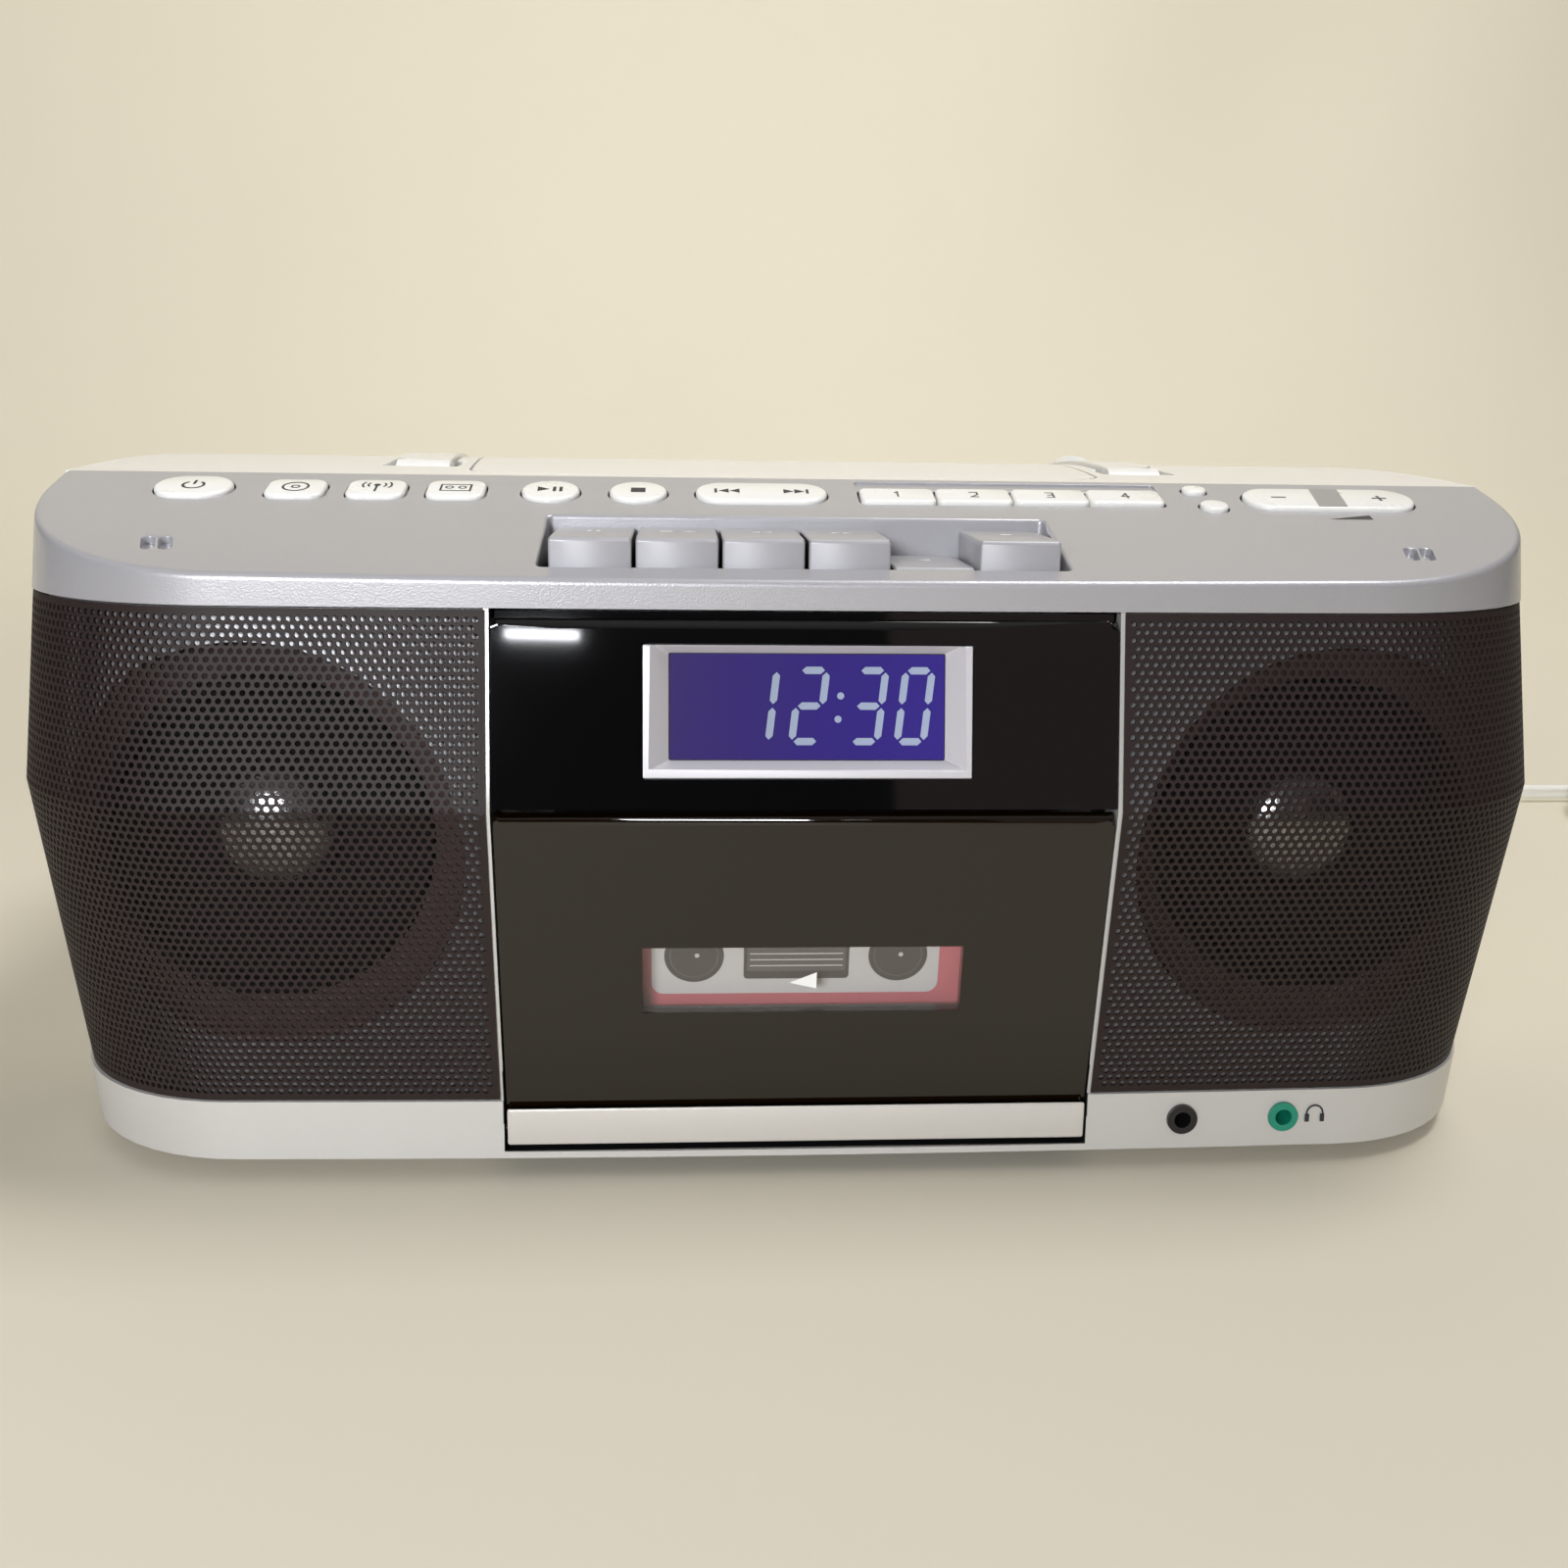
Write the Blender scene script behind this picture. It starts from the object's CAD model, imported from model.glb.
import math

import bpy
import numpy as np
from mathutils import Matrix, Vector
from mathutils.geometry import delaunay_2d_cdt


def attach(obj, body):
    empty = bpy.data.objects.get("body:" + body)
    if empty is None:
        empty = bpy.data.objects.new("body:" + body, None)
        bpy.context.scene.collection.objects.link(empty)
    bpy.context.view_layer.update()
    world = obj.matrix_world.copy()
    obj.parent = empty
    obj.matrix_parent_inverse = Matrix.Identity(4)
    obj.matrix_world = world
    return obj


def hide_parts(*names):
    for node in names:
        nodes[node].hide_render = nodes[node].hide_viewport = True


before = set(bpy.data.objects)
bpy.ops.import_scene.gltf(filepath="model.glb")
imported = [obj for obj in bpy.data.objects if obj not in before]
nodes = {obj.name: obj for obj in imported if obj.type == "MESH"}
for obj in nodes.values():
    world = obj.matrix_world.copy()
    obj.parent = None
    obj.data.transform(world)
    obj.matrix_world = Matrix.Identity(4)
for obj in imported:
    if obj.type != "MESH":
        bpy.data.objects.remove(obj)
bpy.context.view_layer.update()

scene = bpy.context.scene
scene.view_settings.view_transform = "Standard"
MM = 0.001

# Helpers for objects, finishes and meshes. Meshes are written in millimetres and colours in 8-bit screen values.


def add_object(name, data):
    """An object of the scene that shows the data."""
    o = bpy.data.objects.new(name, data)
    scene.collection.objects.link(o)
    return o


def lin(r, g, b):
    """A colour as linear light: the usual two-part screen curve, undone."""
    c = np.array([r, g, b]) / 255
    return tuple(np.where(c <= 0.04045, c / 12.92, ((c + 0.055) / 1.055) ** 2.4)) + (1.0,)


def feed(n, inputs):
    """Gives each named input of a node its value, or links it to another node's output."""
    for key, value in inputs.items():
        if isinstance(value, bpy.types.NodeSocket):
            n.id_data.links.new(value, n.inputs[key])
        else:
            n.inputs[key].default_value = value


def add_node(tree, kind, inputs=None, **settings):
    """A new node with its settings and inputs. Its outputs are given back."""
    n = tree.nodes.new(kind)
    for key, value in settings.items():
        setattr(n, key, value)
    feed(n, inputs or {})
    return n.outputs


def maths(tree, operation, *values):
    """The output of a Math node that takes the values in turn."""
    return add_node(tree, "ShaderNodeMath", dict(enumerate(values)), operation=operation)[0]


def surface_group():
    """Shared wear of a moulded or painted skin: slow noise shades the colour and moves the roughness,
    fine noise gives the height of the grain."""
    g = bpy.data.node_groups.new("skin", "ShaderNodeTree")
    for way, names in (("INPUT", ("Color", "Shade", "Scale", "Rough", "Spread", "Grain")),
                       ("OUTPUT", ("Color", "Roughness", "Height"))):
        for name in names:
            kind = "NodeSocketColor" if name == "Color" else "NodeSocketFloat"
            g.interface.new_socket(name, in_out=way, socket_type=kind)
    given = add_node(g, "NodeGroupInput")
    place = add_node(g, "ShaderNodeTexCoord")["Object"]
    slow, fine = (add_node(g, "ShaderNodeTexNoise", {"Vector": place, "Scale": given[scale], "Detail": detail})["Fac"]
                  for scale, detail in (("Scale", 5), ("Grain", 2)))
    dark = maths(g, "MULTIPLY", slow, given["Shade"])
    shaded = add_node(g, "ShaderNodeMix", {"Factor": dark, "A": given["Color"], "B": (0.25, 0.24, 0.22, 1)},
                      data_type="RGBA", blend_type="MULTIPLY")["Result"]
    rough = maths(g, "MULTIPLY_ADD", maths(g, "SUBTRACT", slow, 0.5), given["Spread"], given["Rough"])
    add_node(g, "NodeGroupOutput", {"Color": shaded, "Roughness": rough, "Height": fine})
    return g


skin = surface_group()


def new_material(name):
    """A material with its node tree and its Principled shader."""
    m = bpy.data.materials.new(name)
    m.use_nodes = True
    return m, m.node_tree, m.node_tree.nodes["Principled BSDF"]


def finish_of(name, color, rough, metallic=0.0, shade=0.05, scale=200.0, spread=0.1, grain=900.0, bump=0.02,
              coat=0.0, coat_rough=0.05, alpha=1.0, ior=1.5):
    """A finish from the shared skin group, which feeds one Principled shader."""
    m, t, p = new_material(name)
    g = add_node(t, "ShaderNodeGroup", {"Color": lin(*color), "Shade": shade, "Scale": scale, "Rough": rough,
                                        "Spread": spread, "Grain": grain}, node_tree=skin)
    rise = add_node(t, "ShaderNodeBump", {"Strength": bump, "Distance": 0.0005, "Height": g["Height"]})["Normal"]
    feed(p, {"Base Color": g["Color"], "Roughness": g["Roughness"], "Normal": rise, "Metallic": metallic,
             "Coat Weight": coat, "Coat Roughness": coat_rough, "Alpha": alpha, "IOR": ior})
    return m


def piece(name, body, materials, points, faces, which=None, angle=35, slot=None):
    """A mesh of points and blocks of faces, smooth except at edges sharper than the angle, which rides on a body if
    one is named. which gives the material of each face."""
    mesh = bpy.data.meshes.new(name)
    flat = [f for block in faces for f in np.asarray(block).tolist()]
    mesh.from_pydata((np.asarray(points, float) * MM).tolist(), [], flat)
    for m in materials:
        mesh.materials.append(m)
    if which is not None:
        mesh.polygons.foreach_set("material_index", np.asarray(which, np.int32))
    mesh.polygons.foreach_set("use_smooth", np.ones(len(flat), bool))
    mesh.set_sharp_from_angle(angle=math.radians(angle))
    o = add_object(name, mesh)
    if body:
        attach(o, body)
    return o


def grid_faces(rows, columns, ring=False, first=0):
    """Quads of a grid of points counted along its rows; ring joins each row's last point to its first."""
    i = np.arange(rows - 1)[:, None]
    j = np.arange(columns if ring else columns - 1)[None, :]
    k = (j + 1) % columns
    quad = np.stack(np.broadcast_arrays(i * columns + j, i * columns + k, (i + 1) * columns + k,
                                        (i + 1) * columns + j), -1)
    return quad.reshape(-1, 4) + first


def tube_faces(rings, n, way=1):
    """Faces of a tube through rings of n points, with flat ends; way -1 turns them over."""
    end = np.arange(n)
    return [grid_faces(rings, n, True)[:, ::way], [end[::-way]], [end[::way] + (rings - 1) * n]]


def unit(v):
    """Vectors brought to a length of one."""
    return v / np.linalg.norm(v, axis=-1, keepdims=True)


def smooth_line(points, per):
    """A Catmull-Rom curve through the points: cubic pieces whose slope at a point is half the step between its
    neighbours."""
    p = np.asarray(points, float)
    p = np.vstack([2 * p[0] - p[1], p, 2 * p[-1] - p[-2]])
    t = np.linspace(0, 1, per, endpoint=False)[:, None, None]
    a, b, c, d = p[:-3], p[1:-2], p[2:-1], p[3:]
    q = 0.5 * (2 * b + (c - a) * t + (2 * a - 5 * b + 4 * c - d) * t ** 2 + (3 * b - 3 * c + d - a) * t ** 3)
    return np.vstack([q.transpose(1, 0, 2).reshape(-1, 3), p[-2:-1]])


def carried(profile, path):
    """A closed profile carried along a path: at each point the profile's first axis lies level across the path and
    its second stands square to both."""
    along = unit(np.gradient(path, axis=0))
    across = unit(np.stack([along[:, 1], -along[:, 0], np.zeros(len(path))], 1))
    rise = np.cross(across, along)
    return path[:, None] + across[:, None] * profile[:, :1] + rise[:, None] * profile[:, 1:]


def around(n):
    """The angles of n equal steps of a full turn."""
    return np.linspace(0, 2 * np.pi, n, endpoint=False)


def circle(x, y, r, a):
    """Points of a circle at the given angles."""
    return np.stack([x + r * np.cos(a), y + r * np.sin(a)], -1)


def rounded_outline(w, d, r, n=8):
    """A rectangle of the given width and depth with quarter-circle corners, counter-clockwise."""
    a = np.linspace(0, np.pi / 2, n)
    r = min(r, w / 2 - 1e-4, d / 2 - 1e-4)
    return np.vstack([circle(sx * (w / 2 - r), sy * (d / 2 - r), r, a + start)
                      for sx, sy, start in ((1, 1, 0), (-1, 1, np.pi / 2), (-1, -1, np.pi), (1, -1, 1.5 * np.pi))])


def frame_at(at, rows):
    """A 4 by 4 matrix from a point and the rows of a turn."""
    m = np.eye(4)
    m[:3, :3] = rows
    m[:3, 3] = at
    return m


def towards(axis, at):
    """A frame at a point whose third axis runs along +X, +Y or +Z of the object."""
    return frame_at(at, {"x": ((0, 0, 1), (1, 0, 0), (0, 1, 0)), "y": ((-1, 0, 0), (0, 0, 1), (0, 1, 0)),
                         "z": np.eye(3)}[axis])


def tilted(angle, at):
    """A frame at a point, turned about X: flat at no angle, upright and facing -Y at a quarter turn."""
    c, s = math.cos(angle), math.sin(angle)
    return frame_at(at, ((1, 0, 0), (0, c, -s), (0, s, c)))


def shifted(place, x, y=0.0):
    """A frame moved along its own first two axes."""
    m = place.copy()
    m[:3, 3] += place[:3, :2] @ (x, y)
    return m


def placed(flat, height, place):
    """Flat points at a height, put in place by a 4 by 4 matrix."""
    p = np.column_stack([np.asarray(flat, float), np.broadcast_to(height, len(flat))])
    return p @ place[:3, :3].T + place[:3, 3]


def block_of(w, d, r, rings, place, n=8):
    """A rounded block as points and faces: the outline at each ring's inset and height, closed by flat ends."""
    p = [placed(rounded_outline(w - 2 * i, d - 2 * i, max(r - i, 0.05), n), h, place) for i, h in rings]
    return np.vstack(p), tube_faces(len(rings), 4 * n)


def printed(shapes, place, lift):
    """Flat printed shapes at a height over a face, as points and faces."""
    starts = np.cumsum([0] + [len(s) for s in shapes])
    return (np.vstack([placed(s, lift, place) for s in shapes]),
            [[np.arange(len(s)) + first] for s, first in zip(shapes, starts)])


def joined(*groups):
    """Groups of pairs of points and faces as one, with the faces counted on. The material of a face is its group's
    place in the call."""
    points, faces, which, count = [], [], [], 0
    for kind, group in enumerate(groups):
        for p, blocks in group:
            points.append(p)
            faces += [np.asarray(b) + count for b in blocks]
            which += [kind] * sum(len(b) for b in blocks)
            count += len(p)
    return np.vstack(points), faces, which


# The view: a close, slightly raised look at the front, a little from the left, with the camera rolled by under a
# degree. The place and the focal length come from the outlines of the base, the waist, the panel and the crowned deck.
view_at = (-0.02453, -0.42385, 0.1586)
view_yaw, view_pitch, view_roll = (math.radians(a) for a in (3.688, 13.082, 0.832))
focal_px, picture_px, sensor_mm = 1644.1, 1600, 36
lens = bpy.data.cameras.new("view")
lens.sensor_width = sensor_mm
lens.lens = sensor_mm * focal_px / picture_px
lens.clip_start = 0.01
camera = add_object("view", lens)
camera.matrix_world = (Matrix.Translation(view_at) @ Matrix.Rotation(-view_yaw, 4, "Z")
                       @ Matrix.Rotation(math.pi / 2 - view_pitch, 4, "X") @ Matrix.Rotation(view_roll, 4, "Z"))
scene.camera = camera

# The mains cord: flat white twin flex that stands on its edge, out of the socket at the back, down to the floor, away
# to the right and into a two-layer coil. Extruded soft plastic with a groove between its two cores.
cord_z, cord_sides = 4, 24
coil_x, coil_y, coil_r, coil_step, coil_layer, half_turns = 378, 186.6, 38.4, 3.8, 6.6, 3.5
cord_route = [[120, 146, 31], [120, 152, 31], [120.4, 160, 28.6], [121.6, 169, 24.6], [124, 178, 19],
              [127.5, 186, 13.2], [132, 194, 8.4], [138, 201, 5.4], [146, 207.5, 4.1], [157, 214, 4], [172, 219, 4],
              [190, 222.4, 4], [210, 224, 4], [232, 224.6, 4], [256, 224.8, 4], [280, 225, 4], [304, 225, 4],
              [328, 225, 4], [350, 225, 4], [366, 225, 4], [372, 225, 4]]
coil_turn = np.arange(0, 2 * half_turns + 1e-9, 1 / 24)
coil_radius = coil_r - coil_step * (half_turns - np.abs(coil_turn - half_turns))
climb = np.clip(2 * (coil_turn - half_turns) + 0.5, 0, 1)
coil_line = np.stack([coil_x + coil_radius * np.sin(2 * np.pi * coil_turn),
                      coil_y + coil_radius * np.cos(2 * np.pi * coil_turn),
                      cord_z + coil_layer * climb ** 2 * (3 - 2 * climb)], 1)
coil_tail = coil_line[-1] + np.outer((7, 14, 21), (1, 0, 0))
cord_line = smooth_line(np.vstack([cord_route, coil_line, coil_tail]), 3)
turn = around(cord_sides)
core_x = np.clip(np.where(np.abs(np.sin(turn)) < 0.3, 1.25, 1.6) * np.cos(turn), -1.55, 1.55)
core_z = (1.5 + 1.5 * np.abs(np.sin(turn)) ** 0.5) * np.sin(turn)
cord_white = finish_of("cord_white", (236, 236, 230), 0.42, scale=60, grain=1500, bump=0.03)
cord = piece("mains_cord", "cabinet", [cord_white],
             carried(np.stack([core_x, core_z], 1), cord_line).reshape(-1, 3),
             tube_faces(len(cord_line), cord_sides, -1), slot="cord_white")
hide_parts("cord_run", "cord_coil")

# The moulded ends of the cord: the socket connector with its tapered strain relief, and the two-blade plug, each
# with rounded edges and finger ribs. Soft white plastic moulded over the cores, blades of nickelled brass.
plug_end = coil_tail[-1]
finger_rib = ((0, 0), (0.7, 0.6), (0.7, 1.6), (0, 2.2))
plug_body = ([(1.6, 9), (0.5, 9.6), (0, 11)] + [(inset, s + more) for s in (14, 18, 22) for inset, more in finger_rib]
             + [(0, 31.6), (0.6, 33)])
# the lower edge of the plug lies on the floor, so its middle is a little below the cord's line
plug_parts = [block_of(13.9, 20.4, 4, plug_body, towards("x", plug_end + [0, 0, -0.25])),
              block_of(5.1, 8.6, 1.5, [(0.9, 0), (0.4, 3), (0, 9.4)], towards("x", plug_end))]
blade_parts = [block_of(1.5, 6.2, 0.3, [(0, 32.5), (0, 48.6), (0.35, 50)], towards("x", plug_end + [0, 0, z]))
               for z in (-6.35, 6.35)]
nickel = finish_of("nickel", (206, 200, 188), 0.24, metallic=1.0, shade=0.2, scale=300, bump=0.01)
plug = piece("plug_body", "cabinet", [cord_white, nickel], *joined(plug_parts, blade_parts), slot="cord_white")
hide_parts("mains_plug")

socket_at = towards("y", (120, 0, 31))
nose = [(0.6, 107), (0, 107.8), (0, 118.4)]
grip = [(1, 118.8), (0.2, 119.6), (0, 121), (0, 133), (0.6, 136), (2.4, 138)]
relief = [(0, 136), (0, 139), (0.6, 140), (0.6, 141), (0.2, 141.6), (0.3, 143), (0.9, 143.6), (0.7, 146)]
connector_parts = [block_of(16, 8.6, 4.2, nose, socket_at), block_of(20, 11.6, 3, grip, socket_at),
                   block_of(6.4, 8.4, 2.2, relief, socket_at)]
connector = piece("socket_connector", "cabinet", [cord_white], *joined(connector_parts), slot="cord_white")
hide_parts("inlet_plug")

# The tie that holds the coil: a paper-covered wire round the turns on the side away from the cabinet.
tie_x, tie_z, tie_wide, tie_tall, tie_steps = coil_x + 32, 7.7, 9.6, 7.15, 60
loop = np.linspace(0, 2 * np.pi, tie_steps)
tie_line = np.stack([tie_x + tie_wide * np.cos(loop), coil_y + 0.8 * np.sin(2 * loop),
                     tie_z + tie_tall * np.sin(loop)], 1)
tie_profile = np.array([[1.4, -0.15], [1.4, 0.15], [-1.4, 0.15], [-1.4, -0.15]])
outward = np.cross(unit(np.gradient(tie_line, axis=0)), (0, 1, 0))
tie_points = tie_line[:, None] + np.array([0, 1, 0]) * tie_profile[:, :1] + outward[:, None] * tie_profile[:, 1:]
tie_black = finish_of("tie_black", (28, 28, 28), 0.6, shade=0.2)
tie = piece("cord_tie", "cabinet", [tie_black], tie_points.reshape(-1, 3), [grid_faces(tie_steps, 4, True)], angle=50)

# The floor and backdrop: one sheet of pale cream paper that runs flat under the object and curves up behind it, with
# two soft diagonal folds in its upright part. Its sizes are in metres.
flat_end, bend_r, sheet_top, sheet_columns = 1.1, 0.9, 3.0, 161
bend = np.linspace(0, np.pi / 2, 30)[1:]
sweep_y = np.concatenate([np.linspace(-2.0, flat_end, 40), flat_end + bend_r * np.sin(bend),
                          np.full(10, flat_end + bend_r)])[:, None]
sweep_z = np.concatenate([np.zeros(40), bend_r - bend_r * np.cos(bend),
                          np.linspace(bend_r, sheet_top, 11)[1:]])[:, None]
sweep_x = np.linspace(-2.5, 2.5, sheet_columns)[None, :]
upright_part = np.clip((sweep_y - flat_end) / 0.5, 0, 1)
folds = (0.035 * np.exp(-((sweep_x - 0.5 - 0.5 * sweep_z) / 0.24) ** 2)
         + 0.012 * np.exp(-((sweep_x + 0.08 - 0.1 * sweep_z) / 0.1) ** 2 - (sweep_z / 0.4) ** 2))
sheet_points = np.stack(np.broadcast_arrays(sweep_x, sweep_y + folds * upright_part, sweep_z - 0.0002), -1)
paper = finish_of("cream_paper", (222, 215, 196), 0.75, scale=3, grain=400)
sweep = piece("paper_sweep", None, [paper], sheet_points.reshape(-1, 3) / MM, [grid_faces(len(sweep_y), sheet_columns)])

# The light: a soft lamp overhead, a gridded key from the front left, a weak fill from the right, one for the backdrop,
# and a dim room behind the camera whose window and warm wall show as reflections in the black front.
world = bpy.data.worlds.new("room")
world.use_nodes = True
scene.world = world
room = world.node_tree
height = add_node(room, "ShaderNodeSeparateXYZ", {0: add_node(room, "ShaderNodeTexCoord")["Generated"]})["Z"]
strength = add_node(room, "ShaderNodeMapRange", {"Value": height, "From Min": 0.2, "From Max": 0.8, "To Min": 0.015,
                                                 "To Max": 0.36})["Result"]
feed(room.nodes["Background"], {"Color": (1.0, 0.98, 0.95, 1), "Strength": strength})
cool, plain, warm = (0.93, 0.95, 1.0), (1.0, 0.99, 0.98), (1.0, 0.74, 0.66)
for name, at, aim, wide, tall, power, tint, spread in (
        ("overhead", (0.5, 0.0, 1.5), (0, 0, 0.05), 0.7, 0.45, 11.8, plain, 180),
        ("front_key", (-0.45, -1.3, 0.42), (-0.13, -0.1, 0.1), 0.4, 0.25, 1.9, cool, 60),
        ("right_fill", (1.6, -0.5, 0.8), (0, 0, 0.08), 0.9, 0.9, 0.5, warm, 180),
        ("backdrop", (-0.1, 0.9, 1.7), (-0.1, 2.2, 1.0), 3.8, 0.8, 33, plain, 180),
        ("far_window", (-0.217, -1.98, 0.538), (-0.05, -0.11, 0.115), 0.1, 0.012, 0.16, cool, 180),
        ("warm_wall", (0.47, -1.65, 0.36), (0.05, -0.11, 0.1), 0.5, 0.5, 0.16, warm, 180)):
    lamp = bpy.data.lights.new(name, "AREA")
    lamp.shape, lamp.size, lamp.size_y = "RECTANGLE", wide, tall
    lamp.energy, lamp.color, lamp.spread = power, tint, math.radians(spread)
    o = add_object(name, lamp)
    o.location = at
    o.rotation_euler = (Vector(aim) - Vector(at)).to_track_quat("-Z", "Y").to_euler()

# The front cabinet: one injection moulding in satin silver paint, with the base band, the baffle behind the
# grilles, the walls of the middle column and the collars that the loudspeakers are screwed to.


def soft_normals():
    """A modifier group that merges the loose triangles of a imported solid, shades it smooth and keeps edges over
    32 degrees sharp."""
    g = bpy.data.node_groups.new("soft_normals", "GeometryNodeTree")
    for way in ("INPUT", "OUTPUT"):
        g.interface.new_socket("Geometry", in_out=way, socket_type="NodeSocketGeometry")
    given = add_node(g, "NodeGroupInput")[0]
    bare = add_node(g, "GeometryNodeRemoveAttribute", {"Geometry": given, "Name": "custom_normal"})["Geometry"]
    merged = add_node(g, "GeometryNodeMergeByDistance", {"Geometry": bare, "Distance": 2e-6})["Geometry"]
    smooth = add_node(g, "GeometryNodeSetShadeSmooth", {"Geometry": merged})["Geometry"]
    angle = add_node(g, "GeometryNodeInputMeshEdgeAngle")["Unsigned Angle"]
    sharp = add_node(g, "FunctionNodeCompare", {"A": angle, "B": math.radians(32)}, operation="GREATER_THAN")["Result"]
    edged = add_node(g, "GeometryNodeSetShadeSmooth", {"Geometry": smooth, "Shade Smooth": False, "Selection": sharp},
                     domain="EDGE")["Geometry"]
    add_node(g, "NodeGroupOutput", {0: edged})
    return g


soften = soft_normals()


def bevelled(o, name, width, steps, **limit):
    """A bevel of a given width on the edges that the limit names."""
    edge = o.modifiers.new(name, "BEVEL")
    edge.width = width * MM
    edge.segments = steps
    edge.harden_normals = True
    for key, value in limit.items():
        setattr(edge, key, value)


def dress(names, material, bevel=0.0):
    """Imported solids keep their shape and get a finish, smooth normals and, where asked, a small rounded edge."""
    for name in names:
        o = nodes[name]
        o.data.materials.clear()
        o.data.materials.append(material)
        o.modifiers.new("soft_normals", "NODES").node_group = soften
        if bevel:
            bevelled(o, "edge", bevel, 2, limit_method="ANGLE", angle_limit=math.radians(40))


def two_tone(m, tests, color, rough, metallic):
    """A second finish where all the tests hold. Each test sets X, Y or Z in metres against a limit: above or below it,
    or, without the sign, beyond it or within it."""
    t = m.node_tree
    p = t.nodes["Principled BSDF"]
    part = add_node(t, "ShaderNodeSeparateXYZ", {0: add_node(t, "ShaderNodeTexCoord")["Object"]})
    mask = None
    for axis, side, limit in tests:
        size = part[axis]
        if side in ("beyond", "within"):
            size = maths(t, "ABSOLUTE", size)
        over = maths(t, "GREATER_THAN" if side in ("above", "beyond") else "LESS_THAN", size, limit)
        mask = maths(t, "MULTIPLY", mask, over) if mask else over
    for key, value, kind in (("Base Color", lin(*color), "RGBA"), ("Roughness", rough, "FLOAT"),
                             ("Metallic", metallic, "FLOAT")):
        links = p.inputs[key].links
        first = links[0].from_socket if links else p.inputs[key].default_value
        feed(p, {key: add_node(t, "ShaderNodeMix", {"Factor": mask, "A": first, "B": value}, data_type=kind)["Result"]})


silver = finish_of("silver_paint", (174, 173, 177), 0.36, metallic=0.3, scale=14, spread=0.06, grain=2600,
                   bump=0.12, coat=0.5, coat_rough=0.1)
front_paint = finish_of("front_paint", (196, 194, 190), 0.38, metallic=0.25, scale=14, spread=0.06,
                        grain=2600, bump=0.05, coat=0.3, coat_rough=0.16)
two_tone(front_paint, (("X", "beyond", 0.0634), ("Z", "above", 0.0168)), (126, 124, 126), 0.5, 0.2)
two_tone(front_paint, (("X", "within", 0.06215), ("Y", "above", -0.1074)), (16, 16, 17), 0.5, 0.0)
dress(["front_cabinet"], front_paint)

# The grilles: thin steel sheet with round holes in staggered rows, rolled round the corners of the cabinet and
# painted a matt brown-black. Each hole is a ring of small faces in a six-sided cell, with a wall as deep as the sheet.
# Three sections give the form of the front: height, half width, foremost Y and corner radius.
sections = np.array([[16.5, 158.2, -107.1, 40.5], [81.4, 165.2, -118.5, 49], [120.5, 163.4, -111.4, 50]])
front_bow = 1.8
front_end, corner_end, grille_wide = 52.9, 129.9, 145.2
grille_kink, grille_tall = 65.9, 105.6
grille_x, grille_back, grille_foot, grille_head = 62.75, -52.4, 16.75, 120.2
hole_pitch, hole_r, sheet_t, border = 1.85, 0.62, 0.55, 0.7


def section_at(z):
    """Foremost Y, corner radius and the corner's centre at a height: straight blends between the three sections."""
    half, front, r = (np.interp(z, sections[:, 0], sections[:, k]) for k in (1, 2, 3))
    return front, r, half - r, front + front_bow + r


def grille_surface(u, v, deep):
    """A point of the right grille: v runs up the two slopes of the front, u runs along the bowed front, then round
    the corner arc, then back along the side. The section at its height is drawn in by the depth in the sheet."""
    z = np.interp(v, (0, grille_kink, grille_tall), sections[:, 0])
    front, r, xc, yc = section_at(z)
    turn = np.clip((u - front_end) / (corner_end - front_end), 0, 1) * np.pi / 2
    back = np.clip((u - corner_end) / (grille_wide - corner_end), 0, 1)
    x = grille_x + (xc - grille_x) * np.clip(u / front_end, 0, 1)
    y = front + deep + front_bow * (x / xc) ** 2
    x = np.where(u > front_end, xc + (r - deep) * np.sin(turn), x)
    y = np.where(u > front_end, yc - (r - deep) * np.cos(turn), y)
    y = np.where(u > corner_end, yc + (grille_back - yc) * back, y)
    return np.stack([x, y, np.clip(z, grille_foot, grille_head)], 1)


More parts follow.
